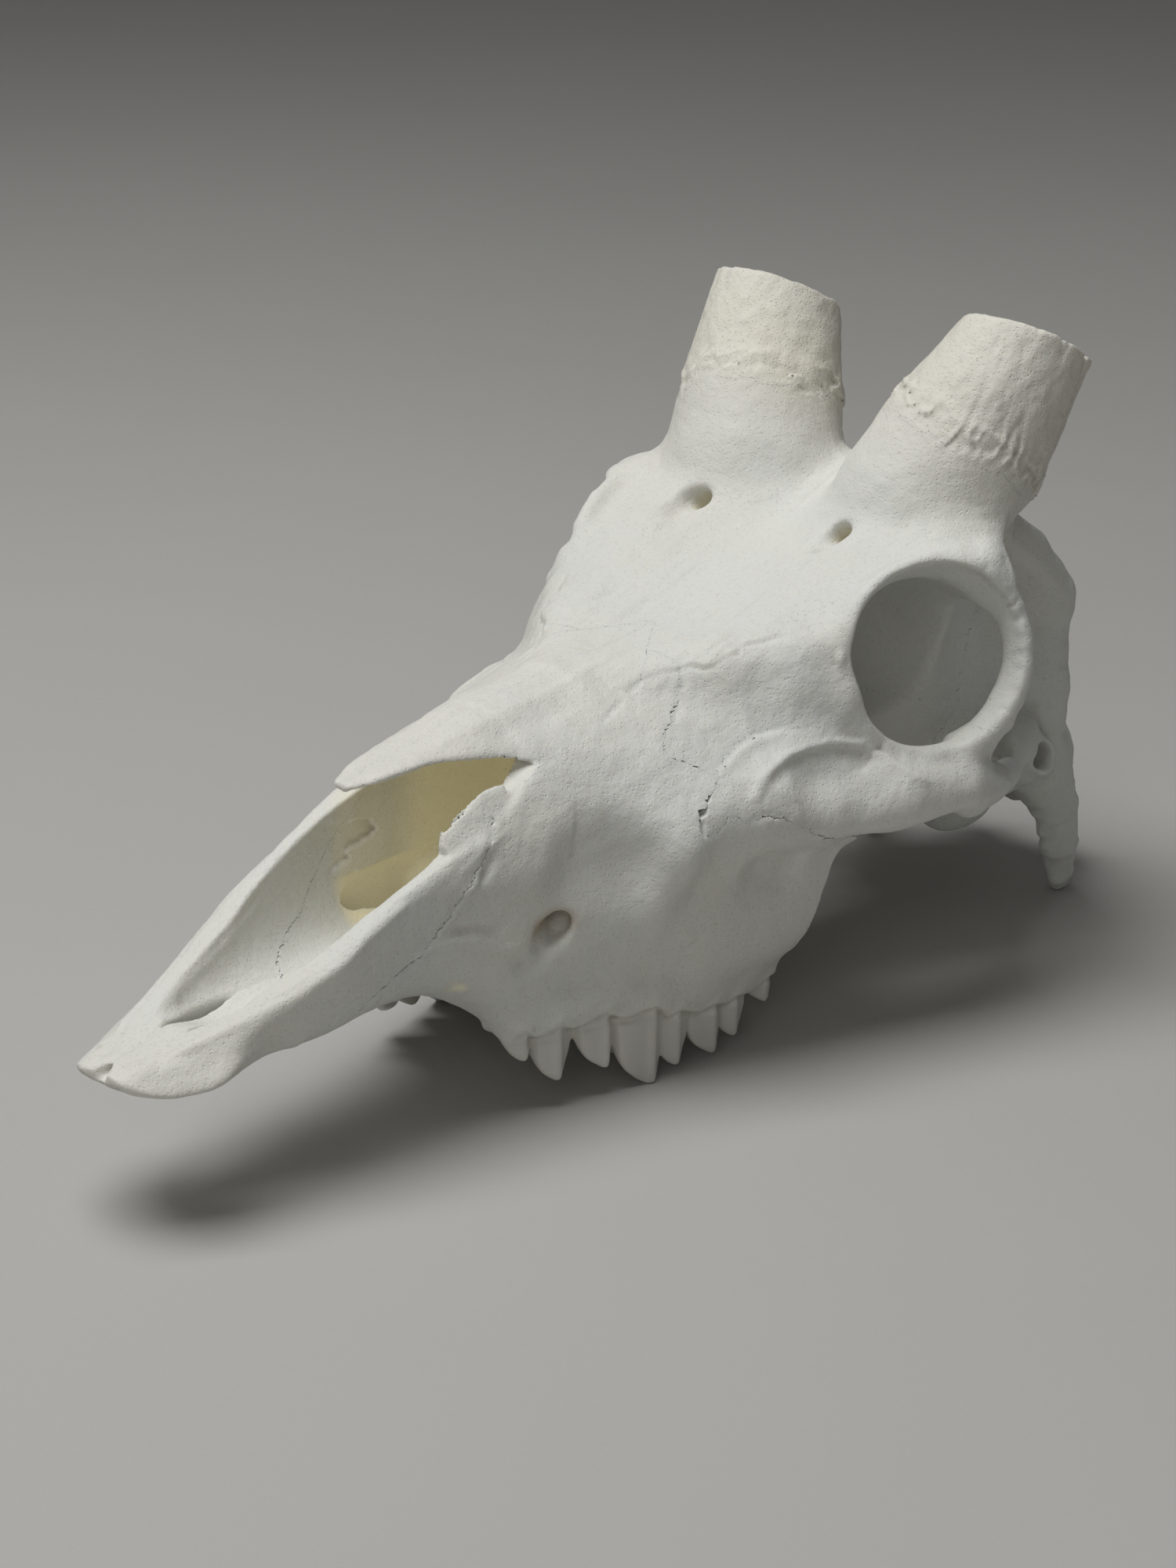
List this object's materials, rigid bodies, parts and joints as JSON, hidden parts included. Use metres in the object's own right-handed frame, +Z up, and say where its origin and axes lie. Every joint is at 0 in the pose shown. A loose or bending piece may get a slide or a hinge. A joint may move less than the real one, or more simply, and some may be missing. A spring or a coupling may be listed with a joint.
{
  "type": "mountain goat skull",
  "caption": "Still, life-size mountain goat cranium without its lower jaw, with the horn cores sawn off short, parted into its bones.",
  "frame": {"origin": "on the floor under the middle of the skull", "axes": "+X to the animal's left, +Y from the nose back to the occiput, +Z up"},
  "size_m": [0.12, 0.2863, 0.1443],
  "materials": {
    "bone": "dry bleached bone, matte",
    "horn_core": "dry porous bone, matte",
    "tooth_jaw": "dry bleached bone with satin enamel"
  },
  "bodies": {
    "root": {"braincase": "bone", "frontal": "bone", "horn_core_left": "horn_core", "horn_core_right": "horn_core", "maxilla_left": "tooth_jaw", "maxilla_right": "tooth_jaw", "nasal_left": "bone", "nasal_right": "bone", "palatine_sphenoid": "bone", "premaxilla_left": "bone", "premaxilla_right": "bone", "zygomatic_left": "bone", "zygomatic_right": "bone"}
  },
  "joints": []
}
